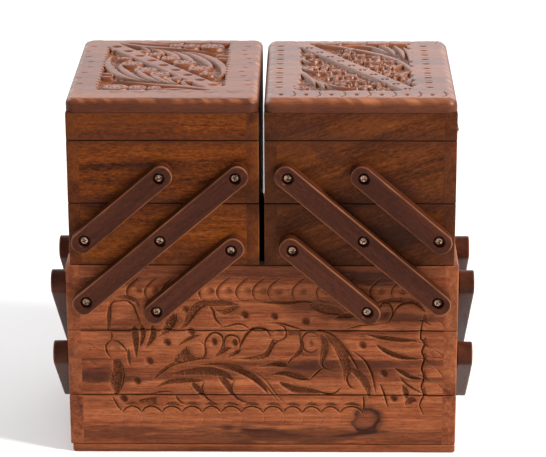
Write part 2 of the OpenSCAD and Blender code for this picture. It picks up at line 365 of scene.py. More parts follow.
class Relief:
    """Carving over a grid of points (u, v): how deep each point lies, in millimetres."""

    def __init__(self, u, v):
        self.u, self.v = np.meshgrid(u, v)
        self.cut = np.zeros_like(self.u)
        self.grit = smooth_noise(self.u, self.v, 1.1, 11)

    def window(self, path, reach):
        """The part of the grid within reach of a path, as a pair of slices, which may be empty."""
        low, high = path.min(0) - reach, path.max(0) + reach
        columns = np.flatnonzero((self.u[0] >= low[0]) & (self.u[0] <= high[0]))
        rows = np.flatnonzero((self.v[:, 0] >= low[1]) & (self.v[:, 0] <= high[1]))
        if not len(columns) or not len(rows):
            return slice(0, 0), slice(0, 0)
        return slice(rows[0], rows[-1] + 1), slice(columns[0], columns[-1] + 1)

    def nearest(self, path, part):
        """Distance to a path, how far along it that is (0 to 1), the side (+1 is left), and its length."""
        u, v = self.u[part], self.v[part]
        best, share, side = np.full(u.shape, 1e9), np.zeros(u.shape), np.ones(u.shape)
        runs = np.linalg.norm(np.diff(path, axis=0), axis=1)
        before = np.concatenate([[0], np.cumsum(runs)])
        for start, end, run, done in zip(path, path[1:], runs, before):
            if run < 1e-9:
                continue
            du, dv = u - start[0], v - start[1]
            eu, ev = (end - start) / run
            s = np.clip(du * eu + dv * ev, 0, run)
            distance = np.hypot(du - s * eu, dv - s * ev)
            near = distance < best
            best = np.where(near, distance, best)
            share = np.where(near, (done + s) / before[-1], share)
            side = np.where(near, np.sign(eu * dv - ev * du), side)
        return best, share, side, before[-1]

    def follow(self, width, points):
        """The part of the grid within `width` of a stroke, then nearest()'s answers for it. The stroke is a
        curve through points, or a single line of points as it is."""
        path = points[0] if isinstance(points[0], np.ndarray) else spline(points)
        part = self.window(path, width)
        return part, *self.nearest(path, part)

    def about(self, x, y, a, b, lean):
        """The part of the grid round an oval turned by `lean` degrees, and the places there along its two
        half axes, where a distance of 1 is its edge."""
        part = self.window(oval(x, y, max(a, b), max(a, b)), 1.0)
        c, s = math.cos(math.radians(lean)), math.sin(math.radians(lean))
        du, dv = self.u[part] - x, self.v[part] - y
        return part, (c * du + s * dv) / a, (c * dv - s * du) / b

    def deepen(self, part, depth):
        self.cut[part] = np.maximum(self.cut[part], depth)

    def groove(self, width, depth, *points, ends=0.6):
        """A V cut that thins out towards both ends."""
        part, d, t, _, _ = self.follow(width, points)
        fade = fading(t, ends)
        half = np.maximum(width / 2 * fade, 0.2)
        self.deepen(part, depth * fade * np.clip(1 - d / half, 0, 1))

    def channel(self, width, depth, *points, ribs=1.5, lead=0.5):
        """A sunk tapering strip with a ribbed floor. lead is where it is widest."""
        part, d, t, side, length = self.follow(width, points)
        swell = swelling(t, lead, 0.002)
        half = np.maximum(width / 2 * swell**0.7, 0.15)
        wall = np.clip((half - d) / 0.55, 0, 1)
        comb = 0.5 + 0.5 * np.cos(2 * math.pi * (t * length + 0.7 * d * side) / ribs)
        rough = 0.75 + 0.25 * comb + 0.12 * self.grit[part]
        self.deepen(part, depth * swell**0.4 * wall * rough)

    def step(self, width, depth, *points, side=1, ends=0.5):
        """A cut that is sheer along the path and runs out on one side of it (+1 is left)."""
        part, d, t, which, _ = self.follow(width, points)
        fade = fading(t, ends)
        reach = np.where(which == side, width * fade, 0.35)
        self.deepen(part, depth * fade * np.clip(1 - d / np.maximum(reach, 0.2), 0, 1) ** 1.3)

    def dimple(self, x, y, a, b, depth, lean=0.0, sheer=0.6):
        """An oval scoop, sheer on its right and easy on its left."""
        part, p, q = self.about(x, y, a, b, lean)
        bowl = np.clip(1 - np.hypot(p, q) ** 2, 0, 1)
        self.deepen(part, depth * bowl * (1 + sheer * np.clip(p, -1, 1)))

    def hatch(self, depth, *corners, pitch=1.7):
        """A sunk patch with a cross-hatched floor."""
        path = np.array([*corners, corners[0]], float)
        part = self.window(path, 1.0)
        u, v = self.u[part], self.v[part]
        inside = np.zeros(u.shape, bool)
        for (x0, y0), (x1, y1) in zip(path, path[1:]):
            if y0 == y1:
                continue
            crosses = (v > y0) != (v > y1)
            inside ^= crosses & (u < (x1 - x0) * (v - y0) / (y1 - y0) + x0)
        d, _, _, _ = self.nearest(path, part)
        wall = np.where(inside, np.clip(d / 1.4, 0, 1), 0)
        weave = sum(np.abs(np.sin(math.pi * (u * math.cos(k) + v * math.sin(k)) / pitch))
                    for k in np.radians((35, 113)))
        self.deepen(part, depth * wall * (0.55 + 0.26 * weave + 0.2 * self.grit[part]))

    def field(self, inside, depth):
        """Sinks a whole background; inside is how far in from its edge each point is."""
        rough = 0.16 * self.grit + 0.10 * smooth_noise(self.u, self.v, 3.1, 5)
        self.cut = np.maximum(self.cut, np.clip(inside / 0.9, 0, 1) * (depth + rough * depth))

    def keep(self, inside, part, top=0.0, crown=0.35):
        """Leaves a raised form standing; inside is how far in from its edge each point is."""
        wall = np.clip(inside / 0.7, 0, 1)
        shoulder = crown * np.clip(1 - inside / 2.2, 0, 1) ** 2
        height = np.where(inside > 0, top + shoulder, 1e9)
        level = self.cut[part] * (1 - wall) + height * wall
        self.cut[part] = np.where(inside > 0, np.minimum(self.cut[part], level), self.cut[part])

    def leaf(self, width, *points, lead=0.45):
        """A raised tapering leaf or stem along a curve."""
        part, d, t, _, _ = self.follow(width, points)
        self.keep(width / 2 * swelling(t, lead, 0.01) ** 0.8 - d, part)

    def head(self, x, y, a, b, lean=0.0, dots=0, top=0.0, crown=0.35):
        """A raised oval, with a ring of punched dots on it if it has any."""
        part, p, q = self.about(x, y, a, b, lean)
        self.keep((1 - np.hypot(p, q)) * min(a, b), part, top, crown)
        c, s = math.cos(math.radians(lean)), math.sin(math.radians(lean))
        for k in range(dots):
            turn = 2 * math.pi * k / dots + x
            pu, pv = 0.5 * a * math.cos(turn), 0.5 * b * math.sin(turn)
            self.dimple(x + c * pu - s * pv, y + s * pu + c * pv, 0.9, 0.9, top + 0.8, sheer=0)

    def spread(self, cells):
        """How much carving lies near each point, from 0 to 1."""
        return np.clip(3.0 * self.blurred(np.clip(self.cut - 0.4, 0, 1), cells) - 0.25, 0, 1)

    def soften(self, cells, share):
        """The cuts with a soft hollow worn round each of them."""
        return self.cut + share * self.blurred(self.cut, cells)

    def blurred(self, field, cells):
        for axis in (0, 1):
            total = np.zeros_like(field)
            weights = np.exp(-0.5 * (np.arange(-2 * cells, 2 * cells + 1) / cells) ** 2)
            padded = np.pad(field, [(2 * cells,) * 2 if k == axis else (0, 0) for k in (0, 1)], "edge")
            for k, weight in enumerate(weights / weights.sum()):
                total += weight * np.take(padded, range(k, k + field.shape[axis]), axis)
            field = total
        return field


# One drawing over the fronts of the three lower tiers, as (x, z)

def carve_front(r):
    # a row of arcs with a scoop in each, under the top edge
    for x in (-105, -91, -77, -63, -49, -35, -20, -7, 5, 24, 43, 62, 84, 101):
        r.step(2.6, 1.5, (x + 1, 130), (x - 1, 136), (x + 2, 142), (x + 9, 148), side=-1, ends=0.3)
        r.dimple(x + 8, 137, 4, 3.4, 0.9)
        r.step(1.6, 1.0, (x + 1, 131), (x + 5, 128.5), (x + 11, 130), side=-1)
    r.channel(5.5, 1.5, (-53, 124), (-38, 126), (-26, 126), (-17, 125), ribs=1.7)
    r.channel(3, 1.7, (-6, 128), (8, 127), (20, 127), (33, 128), (44, 127))
    r.channel(8, 1.6, (36, 126), (48, 122), (58, 120), (66, 115), ribs=2.2)
    r.channel(4.5, 2.2, (88, 127), (98, 129), (112, 129), (120, 127), (128, 119))

    # left: an arched lobe on a stalk, a round one below it, and a cross-hatched strip
    r.step(2.2, 1.8, (-119, 105), (-118, 116), (-117, 126), (-108, 128), side=1)
    r.groove(2.2, 1.7, (-117, 127), (-108, 128.5), (-101, 125), (-98, 118), (-95, 109), (-94, 104))
    r.channel(4, 1.2, (-121, 101), (-120, 112), (-119, 124), (-119, 129))
    r.channel(4.5, 1.3, (-116, 131), (-106, 131), (-98, 128), (-95, 121), ribs=1.6)
    r.step(2.0, 1.6, (-119, 103), (-118, 99), (-119, 95), side=1)
    r.step(2.2, 1.8, (-118, 96), (-123, 91), (-122, 84), (-118, 80), side=1)
    r.step(2.2, 1.7, (-118, 96), (-112, 94), (-107, 88), (-106, 84), side=-1)
    r.dimple(-115, 88, 4, 4, 0.5)
    r.hatch(1.7, (-118, 79), (-111, 80), (-109, 66), (-113, 50), (-117, 48), (-121, 60), (-118, 70))
    r.groove(1.8, 1.6, (-111, 80), (-109, 66), (-111, 56), (-115, 49))
    r.channel(3.2, 1.4, (-105, 89), (-105, 81), (-104, 73))
    for x, bottom, width in ((-100, 80, 5.5), (-94, 89, 4.5), (-86, 88, 5)):
        r.channel(width, 2.0, (x, 108), (x + 0.5, 99), ((x - 98) / 2, bottom), ribs=1.3, lead=0.35)
    r.hatch(1.9, (-80, 99), (-72, 103), (-67, 115), (-69, 119), (-76, 111))
    r.channel(3.4, 1.9, (-82, 98), (-73, 104), (-68, 112), (-67, 119))

    # scoops strung along the ground
    for x, z in ((-75, 94), (-89, 78), (-99, 61), (-14, 117), (9, 116), (34, 112), (-56, 103), (78, 92),
                 (95, 68), (103, 47), (-110, 46), (-60, 121)):
        r.dimple(x, z, 4.2, 3.6, 1.6, lean=-50, sheer=0.75)

    # the left lobes over the stem
    r.channel(7, 1.7, (-40, 127), (-50, 124), (-56, 116), (-61, 108), (-66, 104), ribs=1.5, lead=0.35)
    r.groove(2.2, 2.0, (-61, 106), (-55, 114), (-51, 122), (-44, 126))
    r.step(3, 1.7, (-44, 126), (-38, 121), (-36, 114), (-31, 107), side=-1)
    r.channel(5, 1.6, (-37, 121), (-30, 119), (-22, 122), (-17, 124), ribs=1.6)
    r.groove(2.0, 1.8, (-34, 106), (-28, 107), (-20, 109), (-14, 108), (-9, 104))
    r.channel(3.2, 1.7, (-67, 90), (-60, 95), (-52, 99), (-47, 99))
    r.step(2.4, 1.8, (-58, 91), (-56, 83), (-50, 80), (-46, 82), (-45, 90), (-50, 95), side=-1)
    r.hatch(1.6, (-70, 80), (-59, 91), (-56, 82), (-50, 79), (-62, 76), (-72, 73))
    r.channel(3.4, 1.6, (-87, 61), (-80, 68), (-72, 74), (-64, 77), ribs=1.4)
    r.step(3.2, 2.0, (-86, 61), (-75, 71), (-62, 76), (-48, 79), (-38, 80), side=1)
    r.step(2.4, 1.9, (-45, 82), (-44, 95), (-38, 101), (-32, 98), (-32, 90), (-37, 82), side=1)
    r.dimple(-38, 94, 3, 4.2, 1.5)
    r.channel(4.2, 1.9, (-39, 80), (-34, 84), (-28, 88), (-24, 89), lead=0.6)
    r.step(2.2, 1.9, (-30, 86), (-29, 96), (-25, 99), (-19, 97), (-18, 90), side=1)
    r.dimple(-22, 93, 3, 3.8, 1.5)
    r.channel(3.6, 1.9, (-29, 80), (-22, 84), (-16, 88), lead=0.6)

    # the big lobes right of the middle
    r.step(3.2, 2.4, (-18, 88), (-13, 98), (-7, 104), (2, 104), (6, 99), side=1, ends=0.3)
    r.channel(4.5, 1.8, (9, 97), (6, 88), (1, 82), (-9, 80), (-22, 80), ribs=1.5, lead=0.3)
    r.channel(4.2, 1.7, (28, 100), (31, 92), (29, 86), (22, 78), ribs=1.4)
    r.step(2.0, 1.9, (6, 98), (12, 95), (18, 99), (17, 106), (10, 109), side=-1)
    r.step(2.6, 1.9, (3, 110), (14, 109), (24, 106), (34, 104), side=1)
    r.dimple(13, 102, 3.4, 3.0, 0.7)
    r.groove(2.0, 2.0, (4, 80), (7, 89), (13, 95), (20, 97))
    r.hatch(1.3, (18, 104), (31, 104), (32, 94), (27, 99), (20, 99), pitch=1.5)
    r.step(2.0, 1.8, oval(38, 94, 6.8, 8.2)[2:26], side=-1, ends=0.2)
    r.dimple(38, 93, 2.4, 3.0, 1.0)
    r.channel(6.5, 1.5, (44, 102), (49, 94), (48, 84), (45, 74), ribs=1.9)
    r.step(2.2, 1.9, (54, 89), (48, 82), (48, 74), (55, 70), side=-1)

    # dark crescents under the stem
    r.channel(5.0, 2.4, (-12, 72), (0, 73.5), (12, 75), (20, 74), lead=0.8, ribs=1.8)
    r.groove(2.0, 2.0, (19, 74), (22, 79), (27, 84), (30, 86))
    r.channel(5.5, 2.3, (4, 66), (17, 67), (28, 64), (38, 62), lead=0.6, ribs=1.9)
    r.groove(2.2, 2.0, (36, 61), (41, 66), (46, 71), (50, 72))
    r.channel(6.0, 2.2, (13, 60), (24, 54), (37, 52.5), (50, 51), lead=0.4, ribs=1.8)
    r.groove(2.2, 2.0, (38, 53), (50, 50.5), (57, 51), (63, 57))
    r.step(3.4, 1.9, (-50, 74), (-32, 74), (-12, 72), side=1)
    r.channel(5.0, 2.1, (-88, 53), (-76, 59), (-62, 61), (-46, 61), lead=0.6, ribs=1.5)
    r.channel(7.5, 2.1, (-76, 66), (-60, 68), (-42, 69), (-30, 66), (-22, 61), lead=0.6, ribs=1.6)
    r.channel(6.0, 2.3, (-40, 74), (-22, 71), (-8, 64), (1, 55), (5, 49), lead=0.5, ribs=1.4)
    r.groove(1.6, 1.2, (-9, 71), (2, 62), (10, 51), (18, 41))
    r.groove(1.6, 1.2, (-12, 70), (-2, 62), (6, 52), (14, 42))
    r.step(2.4, 1.9, (-46, 61), (-47, 54), (-44, 47), (-37, 41), side=-1)
    r.step(2.4, 1.9, (-22, 62), (-24, 53), (-19, 46), (-9, 41), side=-1)
    r.channel(5.5, 1.6, (-57, 60), (-52, 55), (-48, 50), (-47, 46), ribs=1.5)
    r.channel(6, 1.6, (-36, 66), (-30, 60), (-26, 54), (-24, 48), ribs=1.5)
    r.step(2.0, 1.7, (-69, 50), (-66, 45), (-60, 40), side=-1)
    r.hatch(1.4, (-100, 40), (-98, 45), (-83, 48), (-84, 41))
    r.step(1.8, 1.6, (-90, 49), (-80, 51), (-69, 51), side=1)

    # long blades bending down to the right
    r.step(3.0, 2.0, (42, 105), (54, 100), (64, 89), (71, 78), (76, 69), side=1, ends=0.4)
    r.channel(8.5, 1.4, (49, 101), (58, 92), (64, 80), (66, 70), (64, 60), ribs=2.0)
    r.step(2.6, 2.0, (70, 87), (80, 78), (86, 65), (89, 50), side=1)
    r.channel(7, 1.4, (66, 74), (76, 66), (82, 57), (84, 46), ribs=1.9)
    r.step(2.2, 1.9, (72, 71), (67, 65), (69, 57), (74, 55), side=-1)
    r.groove(2.4, 1.9, (92, 60), (96, 50), (99, 38))
    r.groove(2.2, 1.6, (79, 50), (80, 42), (79, 35))

    # right: a notched upright with blades running up to it
    r.groove(2.4, 2.2, (127, 119), (125, 111), (124, 104), (124, 97), (127, 93), (125, 86), (127, 80),
             (125, 72), (127, 65), (125, 56), (127, 50), (124, 41), (127, 33), ends=0.25)
    for z in (112, 93, 80, 65, 51):
        r.groove(1.8, 1.5, (121, z + 1), (126, z), (132, z - 4))
        r.channel(3.2, 1.3, (128, z + 6), (127, z + 2), (129, z - 3), ribs=1.2)
    r.channel(4.5, 2.3, (80, 101), (92, 98), (107, 96), (123, 95), lead=0.5, ribs=1.3)
    r.channel(4.5, 2.3, (89, 92), (99, 85), (111, 81), (125, 80), lead=0.4, ribs=1.3)
    r.channel(4.0, 2.1, (103, 73), (112, 67), (118, 64), (126, 63), lead=0.5, ribs=1.3)
    r.step(2.4, 1.8, (107, 66), (115, 58), (126, 51), side=-1)
    r.channel(5.0, 1.6, (110, 58), (113, 51), (113, 45), ribs=1.5)
    r.channel(5.5, 1.6, (112, 40), (117, 45), (122, 44), ribs=1.5)
    r.groove(2.2, 2.0, (90, 119), (93, 126), (99, 126), (102, 119), (99, 112), (94, 110))
    r.groove(2.4, 2.2, (101, 116), (106, 124), (113, 127), (121, 126), (127, 120))
    r.groove(2.0, 1.6, (64, 105), (76, 108), (88, 109), (97, 112))
    r.channel(4.5, 2.4, (56, 114), (64, 116), (73, 116), lead=0.6)
    r.dimple(96, 119, 3.4, 5, 0.7, lean=-35)

    # short strokes on the plain margins
    for x, z, length, drop in ((-138, 94, 8, 6), (-138, 79, 9, 6), (-137, 63, 9, 5), (-138, 109, 6, 7),
                               (133, 89, 11, 9), (134, 75, 9, 12), (136, 61, 6, 7), (135, 114, 8, 7),
                               (131, 86, 3, 4)):
        r.groove(1.5, 0.8, (x, z), (x + 0.55 * length, z - 0.45 * drop), (x + length, z - drop))

    # a scalloped lower border, with faint strokes hanging from its points
    cusps = (-111, -96, -80, -64, -48, -33, -17, 0, 16, 31, 46, 61, 79)
    for x0, x1 in zip(cusps, cusps[1:]):
        middle = (x0 + x1) / 2
        r.groove(2.0, 1.8, (x0, 34), (x0 + 3, 37.5), (middle, 39), (x1 - 3, 37.5), (x1, 34), ends=0.2)
        r.channel(3.4, 1.2, (x0 + 1, 40), (middle, 41.5), (x1 - 1, 40), ribs=1.5)
        r.groove(1.1, 0.5, (x0 + 1, 33), (x0 + 1, 27), (x0 - 4, 20))
        r.groove(0.9, 0.4, (x0 + 3, 30), (middle, 33), (x1 - 3, 30))
    r.step(2.0, 1.8, (-119, 48), (-115, 39), (-111, 35), side=1)


# The sunk fields of the two lids as (low x, high x, low y, high y)
LEFT_FIELD = (-129, -27, -65, 79)
LEFT_CENTRE = (-78, 7)
RIGHT_FIELD = (26, 120, -66, 77)


def inside_field(r, bounds, lobe, reach, petal, start):
    """How far in from a field's edge each point is. Round lobes of the border stand into its sides,
    `lobe` apart and `reach` long, and wider ones into its ends, `petal` apart."""
    x0, x1, y0, y1 = bounds
    lobes = reach * np.abs(np.cos(math.pi * (r.v - start[1]) / lobe)) ** 0.55
    petals = 2.4 * np.abs(np.cos(math.pi * (r.u - start[0]) / petal)) ** 0.5
    ragged = 0.4 * smooth_noise(r.u, r.v, 2.3, 21)
    across = np.minimum(r.u - x0 - lobes, x1 - r.u - lobes)
    along = np.minimum(r.v - y0 - petals, y1 - r.v - petals)
    return np.minimum(across, along) + ragged


def band(r, start, end, half):
    """A raised straight band from corner to corner."""
    path = np.array([start, end], float)
    part = (slice(None), slice(None))
    d, _, _, _ = r.nearest(path, part)
    r.keep(half - d, part, crown=0.2)


def mirrored(points, centre, flip):
    """Points turned half round about a centre when flip is set."""
    return [(2 * centre[0] - x, 2 * centre[1] - y) if flip else (x, y) for x, y in points]


def carve_left_lid(r):
    r.field(inside_field(r, LEFT_FIELD, 7.4, 2.6, 22, LEFT_CENTRE), 2.6)
    for flip in (False, True):
        def place(*points):
            return mirrored(points, LEFT_CENTRE, flip)

        # a stem along the edge, and hooked leaves that each end in an oval head
        r.leaf(7, *place((-36, -63), (-58, -53), (-82, -47), (-102, -40), (-120, -32)), lead=0.3)
        r.leaf(7.5, *place((-90, -40), (-107, -26), (-118, -8), (-124, 12), (-124, 32), (-118, 44)))
        r.leaf(7, *place((-82, -44), (-97, -29), (-108, -10), (-114, 8), (-110, 20)), lead=0.55)
        r.leaf(7, *place((-74, -46), (-86, -33), (-96, -15), (-100, -2)), lead=0.6)
        r.leaf(6.5, *place((-66, -49), (-76, -38), (-85, -23), (-88, -14)), lead=0.6)
        r.leaf(5, *place((-58, -52), (-68, -43), (-74, -31), (-73, -24)), lead=0.6)
        r.leaf(4.5, *place((-50, -55), (-58, -48), (-62, -38), (-58, -32)), lead=0.6)
        for x, y, a, b in ((-105, 14, 9.5, 8), (-93, -4, 10, 8), (-81, -17, 8.5, 8), (-68, -29, 5.5, 6),
                           (-112, 30, 7, 5), (-113, -54, 10.5, 8), (-96, -55, 7.5, 7), (-83, -56, 6, 6)):
            (x, y), = place((x, y))
            r.head(x, y, a, b, dots=9 if a > 7 else 5)
        for x, y in ((-122, -16), (-122, -25), (-120, 56), (-56, -38)):
            (x, y), = place((x, y))
            r.head(x, y, 6, 3, lean=-15)
        r.leaf(6, *place((-79, -60), (-64, -60), (-46, -64)), lead=0.3)
    band(r, (-128, 76), (-32, -61), 7.6)
    for k in range(9):
        t = (k + 0.5) / 9
        r.dimple(-126 + 93 * t, 72 - 128 * t, 4.6, 3.0, 1.1, sheer=0.2)
    for x, count in ((-140, 8), (-14, 10)):
        for k in range(count):
            r.dimple(x + 3 * math.sin(5 * k), 66 - 128 * k / count, 3.2, 1.0, 0.35, sheer=0)
    for k in range(6):
        r.groove(0.9, 0.5, (-118 + 18 * k, -66), (-112 + 18 * k, -70), (-104 + 18 * k, -68))


def carve_right_lid(r):
    lobe, petal, start = 13.6, 19.2, (34, 67)
    r.field(inside_field(r, RIGHT_FIELD, lobe, 4.2, petal, start), 2.5)
    # the upper half's stem arches over it and the lower half's runs down its left side
    r.leaf(6.5, (36, 78), (56, 69), (76, 56), (95, 40), (109, 20), (117, -4), (119, -28), (119, -52),
           lead=0.35)
    for points in (((60, 68), (74, 71), (90, 62)), ((80, 74), (92, 60), (103, 42)),
                   ((92, 76), (102, 58), (106, 36)), ((104, 74), (111, 52), (112, 28)),
                   ((112, 70), (117, 46), (117, 14)), ((112, 14), (105, 6), (103, -4)),
                   ((117, -6), (110, -16), (108, -28)), ((119, -24), (114, -34), (114, -46))):
        r.leaf(5, *points)
    r.leaf(6, (28, 66), (27, 40), (27, 10), (31, -14), (42, -36), (54, -54), (64, -66), lead=0.35)
    for points in (((29, 34), (34, 22), (41, 14)), ((28, 12), (33, 0), (42, -10)),
                   ((29, -4), (34, -18), (36, -32)), ((34, -18), (39, -34), (41, -50)),
                   ((40, -32), (46, -46), (48, -60)), ((27, 0), (23, -14), (24, -30)),
                   ((30, -14), (27, -30), (29, -46)), ((46, -42), (58, -52), (74, -58))):
        r.leaf(4.6, *points)
    # florets: small heads crowded round a middle one
    blooms = ((36, 42), (40, 26), (37, 4), (49, 8), (47, -8), (58, -6), (56, -22), (68, -20), (64, -36),
              (76, -36), (88, -44), (78, -52), (92, -58), (68, 56), (66, 42), (78, 40), (90, 34), (76, 26),
              (88, 20), (100, 22), (88, 6), (100, 8), (98, -8), (106, -18), (30, -56), (60, -44))
    for k, (x, y) in enumerate(blooms):
        r.head(x, y, 4.6, 3.9, lean=20 * k, crown=0.3)
        r.dimple(x, y, 1.6, 1.3, 1.1, sheer=0)
        for j in range(5):
            turn = 2 * math.pi * j / 5 + k
            u, v = x + 6.0 * math.cos(turn), y + 5.4 * math.sin(turn)
            r.head(u, v, 2.4, 1.8, lean=math.degrees(turn), top=0.25, crown=0.3)
            r.dimple(u, v, 0.9, 0.8, 0.9, sheer=0)
    band(r, (30, 74), (116, -66), 6.6)
    for k in range(10):
        t = (k + 0.5) / 10
        for off in (-1.7, 1.7):
            r.dimple(32 + 84 * t + off, 68 - 134 * t, 1.5, 2.2, 0.9, sheer=0)
    # petals round the border, each with a punched mark
    for k in range(10):
        y = start[1] - lobe * k
        for x in (13, 129):
            r.dimple(x, y, 3.4, 1.3, 0.8, sheer=0)
            r.groove(0.8, 0.35, (x - 5, y + 6.8), (x, y + 6.4), (x + 5, y + 6.8))
    for k in range(-1, 7):
        x = start[0] + petal * k
        for y, bend in ((-76, -1), (83, 1)):
            if 8 < x < 140:
                r.dimple(x, y, 2.1, 2.7, 1.0, sheer=0.3)
            r.groove(1.5, 1.3, (x + 9, y - 9 * bend), (x + 11, y), (x + 7, y + 7 * bend), ends=0.4)


# ---------------------------------------------------------------- carved pieces

def backed(grid, axis, level):
    """Points and faces of a solid whose face is a grid of points and whose back is flat, with `axis` at
    `level` there. Also the number of the back's points."""
    rows, columns = grid.shape[:2]
    points = grid.reshape(-1, 3)
    numbers = np.arange(rows * columns).reshape(rows, columns)
    rim = [*numbers[0], *numbers[1:, -1], *numbers[-1, -2::-1], *numbers[-2:0:-1, 0]]
    rim = [int(k) for k in rim]
    behind = points[rim]
    behind[:, axis] = level
    back = [len(points) + k for k in range(len(rim))]
    faces = [(k, k + 1, k + columns + 1, k + columns) for k in numbers[:-1, :-1].ravel().tolist()]
    faces += [(rim[k - 1], back[k - 1], back[k], rim[k]) for k in range(len(rim))]
    faces.append(tuple(reversed(back)))
    return np.concatenate([points, behind]), faces, len(rim)


def wear(cut):
    """Where a carved surface stands proud of what is round it: the edges that get rubbed bare."""
    around = cut
    for axis in (0, 1):
        around = (np.roll(around, 1, axis) + 2 * around + np.roll(around, -1, axis)) / 4
    return np.clip((around - cut) * 5, 0, 1)


def streaked(u, v, streaks, seed):
    """Dark heartwood: soft ragged lens shapes given as (u, v, half length, half height, slope, strength)."""
    total = np.zeros_like(u)
    ragged = 1 + 0.45 * smooth_noise(u, v * 7, 22.0, seed) + 0.3 * smooth_noise(u, v * 9, 7.0, seed + 1)
    for x, y, length, height, slope, strength in streaks:
        a, b = (u - x) / length, (v - y - slope * (u - x)) / height
        total = np.maximum(total, strength * np.clip(1.4 * ragged - a**2 - b**2, 0, 1))
    return total


def knot(u, v, x, y, radius):
    """A dark ring round a knot, with stain trailing off along the grain."""
    r = np.hypot((u - x) / 1.15, v - y)
    r = r + 1.6 * smooth_noise(u, v, 5.0, 17)
    ring = np.exp(-(((r - radius) / 3.0) ** 2)) * (0.55 + 0.2 * np.clip((u - x + v - y) / radius, -1, 1))
    trail = np.exp(-(((v - y + 11) / 4) ** 2) - (((u - x) / 18) ** 2))
    return np.clip(ring + 0.6 * trail + 0.45 * (r < radius), 0, 1)


# Dark heartwood on the lower unit's front and in the two upper stacks, in streaked()'s terms; the front's
# last entry instead darkens a broad band along the top of the lower unit's front across its whole width
FRONT_STREAKS = ((-35, 17, 150, 5, 0, 0.62), (-20, 15, 190, 9, 0, 0.5), (120, 10, 60, 3, 0, 0.5),
                 (88, 15, 30, 7, 0, 0.55), (-128, 64, 40, 4, 0, 0.8), (-60, 66, 55, 3, 0.03, 0.55),
                 (45, 75, 60, 4.5, 0, 0.85), (70, 68, 70, 4, 0, 0.5), (110, 76, 50, 3, 0, 0.7),
                 (95, 115, 60, 3.5, 0, 0.7), (125, 63, 30, 2.5, 0, 0.6), (-120, 145, 50, 5, 0.1, 0.6),
                 (85, 148, 40, 6, -0.05, 0.9), (-90, 148, 30, 4, 0, 0.5), (-100, 104, 55, 1.5, 0, 0.6),
                 (20, 152, 70, 2, 0, 0.4), (45, 124, 26, 5, 0, 0.6), (-70, 12, 90, 2.5, 0, 0.5),
                 (0, 156, 190, 9, 0, 0.45))
STACK_STREAKS = {
    "left": ((-110, 190, 45, 4, 0.15, 0.5), (-50, 170, 60, 3, 0.0, 0.4), (-95, 240, 50, 3, -0.1, 0.4),
             (-30, 215, 30, 5, 0.2, 0.5), (-120, 270, 60, 2.5, 0, 0.4)),
    "right": ((60, 200, 60, 7, -0.55, 0.85), (100, 225, 45, 5, -0.5, 0.8), (30, 175, 35, 5, -0.4, 0.7),
              (120, 182, 35, 6, -0.35, 0.7), (70, 240, 50, 4, -0.45, 0.6), (45, 268, 60, 3, -0.1, 0.5)),
}
# How far apart the points of the carved surfaces are
FRONT_CELL = 0.5
LID_CELL = 0.56


def carved_front(tier, material):
    """A tier's front board with its share of the carving."""
    low, high = box_mm(f"{tier}_front")
    r = Relief(edge_rows(low[0], high[0], 0.6, FRONT_CELL, 2), edge_rows(low[2], high[2], 1.0, FRONT_CELL, 4))
    carve_front(r)
    near = r.spread(9)
    ridges = np.abs(np.sin(2.4 * (r.u * 0.8 + r.v) + 2.5 * smooth_noise(r.u, r.v, 6.0, 9)))
    cut = r.soften(3, 0.55)
    cut += near * (0.36 * ridges + 0.16 * (1 + r.grit))
    carved = np.clip((np.minimum(128 - np.abs(r.u - 3), 58 - np.abs(r.v - 94)) + 6) / 8, 0, 1)
    cut += (0.05 + 0.20 * carved) * (1 + smooth_noise(r.u, r.v, 8.0, 3))
    cut += (0.03 + 0.05 * carved) * (1 + r.grit)
    edge = np.minimum(r.v - low[2], high[2] - r.v)
    round_over = 1.1 + 0.5 * smooth_noise(r.u, r.v * 0, 23.0, 8)
    lip = np.clip(1 - edge / round_over, 0, 1)
    cut += round_over * (1 - np.sqrt(1 - lip**2))
    points, faces, behind = backed(np.stack([r.u, low[1] + cut, r.v], -1), 1, high[1])
    stain_and_shade = streaked(r.u, r.v, FRONT_STREAKS, 4)
    stain_and_shade = np.maximum(stain_and_shade, knot(r.u, r.v, 82, 28, 9.5))
    # painted shade: within about a millimetre of its top and bottom edges, where the tiers meet, the front is
    # darkened
    stain_and_shade = np.maximum(stain_and_shade, np.clip(1.1 - edge / 0.7, 0, 0.8))
    pad = np.zeros(behind)
    # in the material the cut mark darkens the carving as painted shade in its recesses
    marks = {"cut": np.append(np.clip(cut / 2.0, 0, 1) ** 1.3, pad), "stain_and_shade": np.append(stain_and_shade, pad),
             "worn": np.append(wear(cut) * 0.5, pad)}
    return new_piece(f"{tier}_carved_front", points, faces, tier, material, [f"{tier}_front"],
                     55, marks)


